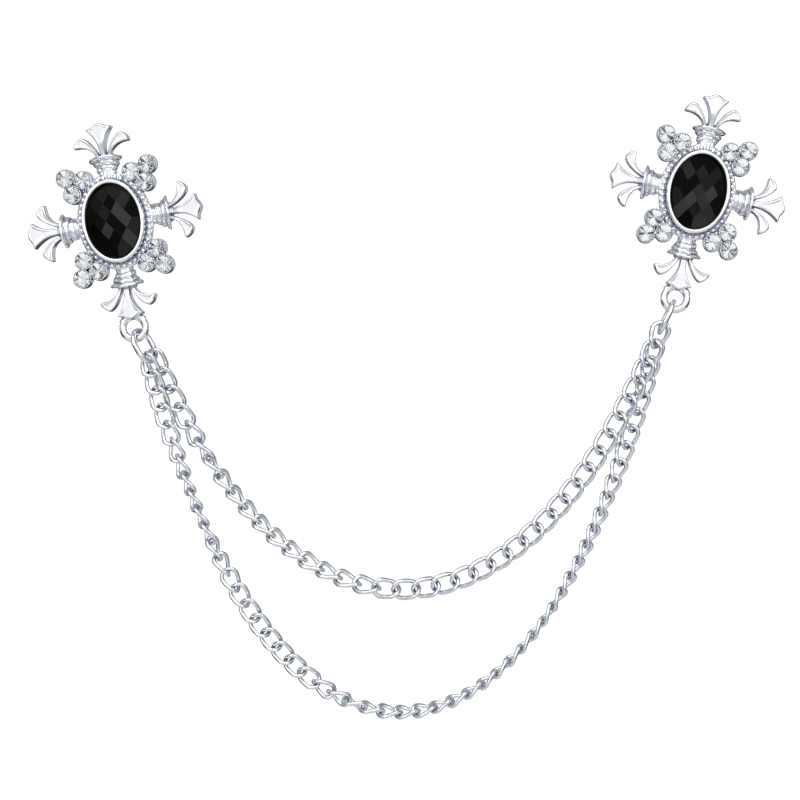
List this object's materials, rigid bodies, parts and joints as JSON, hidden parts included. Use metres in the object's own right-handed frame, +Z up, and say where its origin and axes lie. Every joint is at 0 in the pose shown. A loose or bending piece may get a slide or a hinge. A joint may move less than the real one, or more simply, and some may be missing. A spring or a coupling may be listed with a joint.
{
  "type": "lapel chain",
  "caption": "Lapel chain with two cross-shaped brooches, each with an oval black stone in a beaded bezel and trefoils of clear crystals, joined by a short and a long curb chain.",
  "frame": {"origin": "middle of the left brooch's pin stem, behind its stone, where the left brooch hangs from the cloth", "axes": "+Z up as it hangs, +X from the left brooch to the right one as seen from the front, -Y out of the brooches' faces"},
  "size_m": [0.1464, 0.0095, 0.1205],
  "materials": {
    "casting": "bright rhodium-tone plated casting",
    "stone": "black, polished, lozenge-faceted dome",
    "crystal": "clear foil-backed crystal, faceted and polished",
    "pin": "plain nickel-tone pin finding",
    "connector": "bright plated wire",
    "chain": "bright plated wire, slightly softer than the castings"
  },
  "bodies": {
    "root": {"left_casting": "casting", "right_casting": "casting", "left_stone": "stone", "right_stone": "stone", "left_crystal_1": "crystal", "left_crystal_2": "crystal", "left_crystal_3": "crystal", "left_crystal_4": "crystal", "left_crystal_5": "crystal", "left_crystal_6": "crystal", "left_crystal_7": "crystal", "left_crystal_8": "crystal", "left_crystal_9": "crystal", "left_crystal_10": "crystal", "left_crystal_11": "crystal", "left_crystal_12": "crystal", "right_crystal_1": "crystal", "right_crystal_2": "crystal", "right_crystal_3": "crystal", "right_crystal_4": "crystal", "right_crystal_5": "crystal", "right_crystal_6": "crystal", "right_crystal_7": "crystal", "right_crystal_8": "crystal", "right_crystal_9": "crystal", "right_crystal_10": "crystal", "right_crystal_11": "crystal", "right_crystal_12": "crystal", "left_pin": "pin", "right_pin": "pin", "left_connector": "connector", "right_connector": "connector", "upper_chain": "chain", "lower_chain": "chain"}
  },
  "joints": []
}
